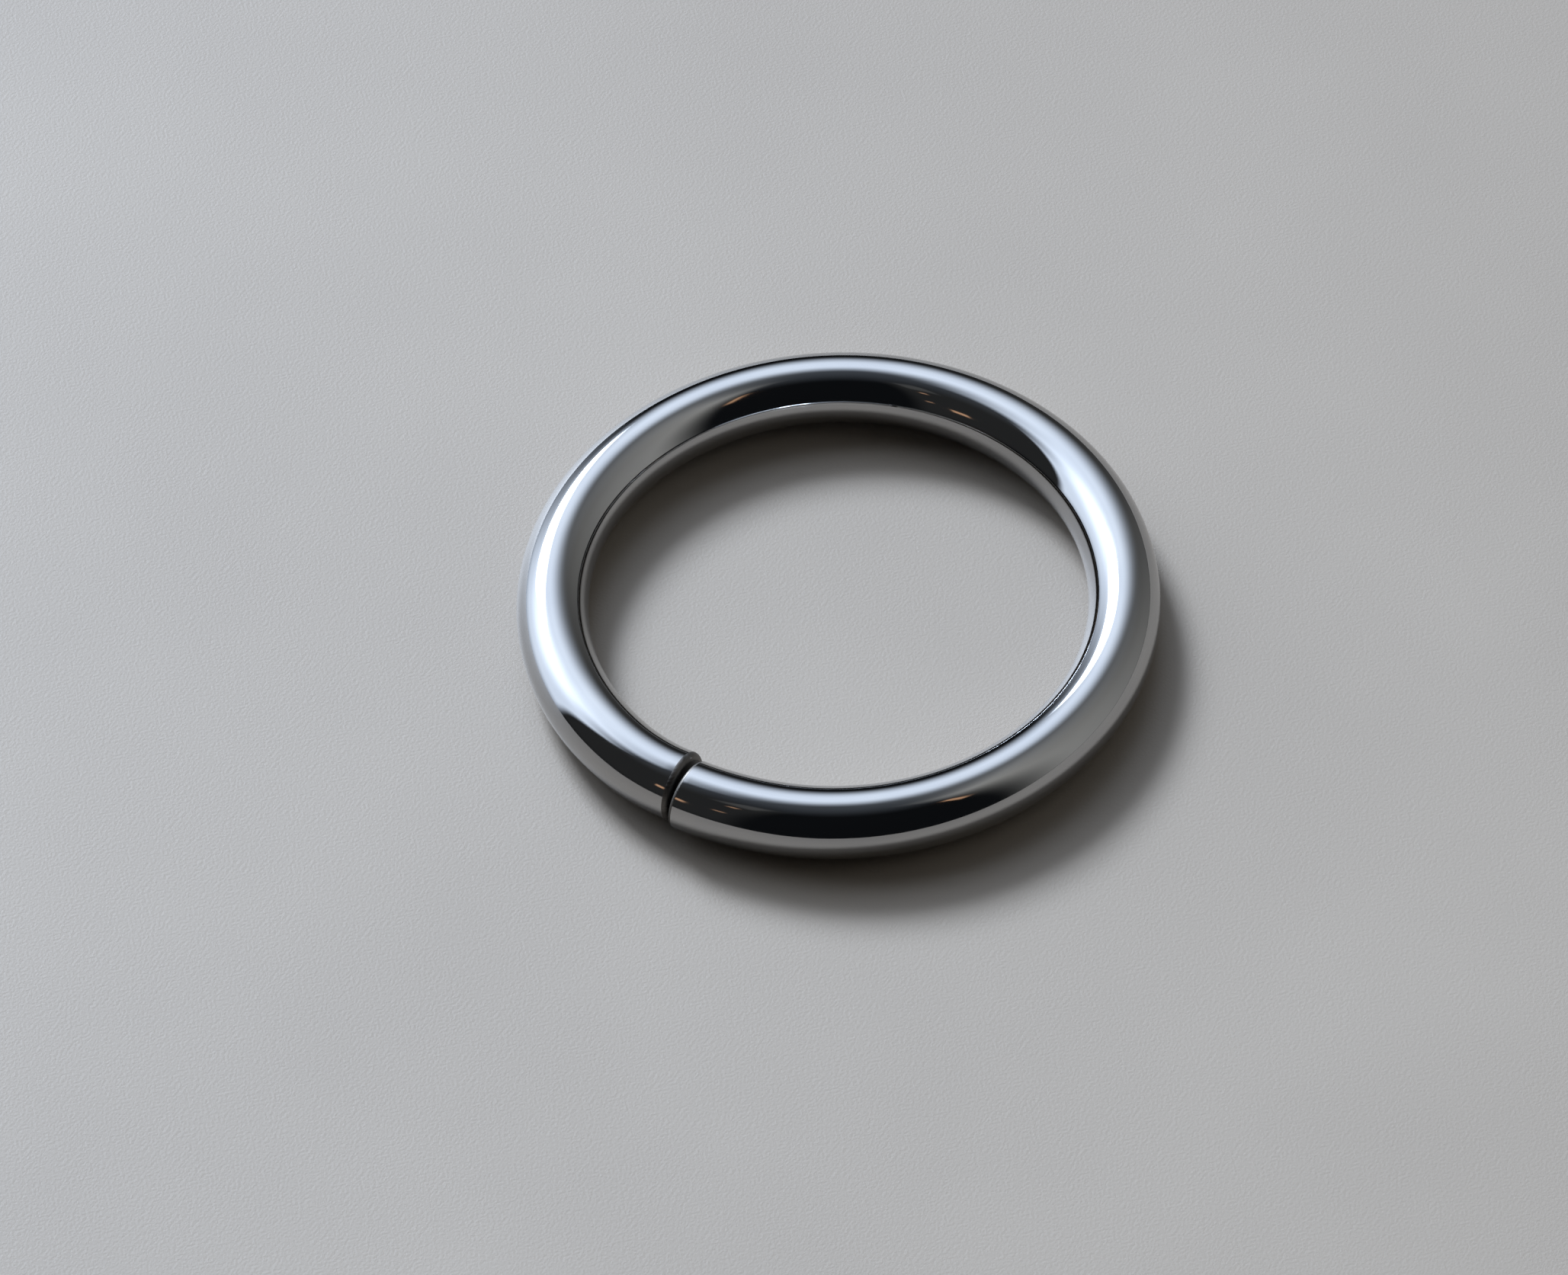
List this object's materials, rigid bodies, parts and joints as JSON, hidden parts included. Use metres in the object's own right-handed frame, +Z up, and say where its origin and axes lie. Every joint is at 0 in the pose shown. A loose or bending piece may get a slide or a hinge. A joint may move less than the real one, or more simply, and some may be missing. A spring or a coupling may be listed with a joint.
{
  "type": "wedding band",
  "caption": "Plain round-wire finger band bent from one length of polished steel, with an open butt seam that can be twisted apart.",
  "frame": {"origin": "under the middle of the finger opening, on the surface that the band lies on", "axes": "+Z up through the finger opening, -Y towards the seam, +X towards the half that lifts"},
  "size_m": [0.0232, 0.0233, 0.0026],
  "materials": {
    "polished_steel": "bare stainless steel polished to a mirror, with fine handling scratches"
  },
  "bodies": {
    "left_half": {"band_left_half": "polished_steel"},
    "right_half": {"band_right_half": "polished_steel"}
  },
  "joints": [
    {"name": "seam_twist", "type": "hinge", "parent": "left_half", "child": "right_half", "pos_m": [0, 0.0103, 0.0013], "axis": [-1, 0, 0], "range_deg": [0, 10], "stiffness_Nm_per_rad": 11.2}
  ]
}
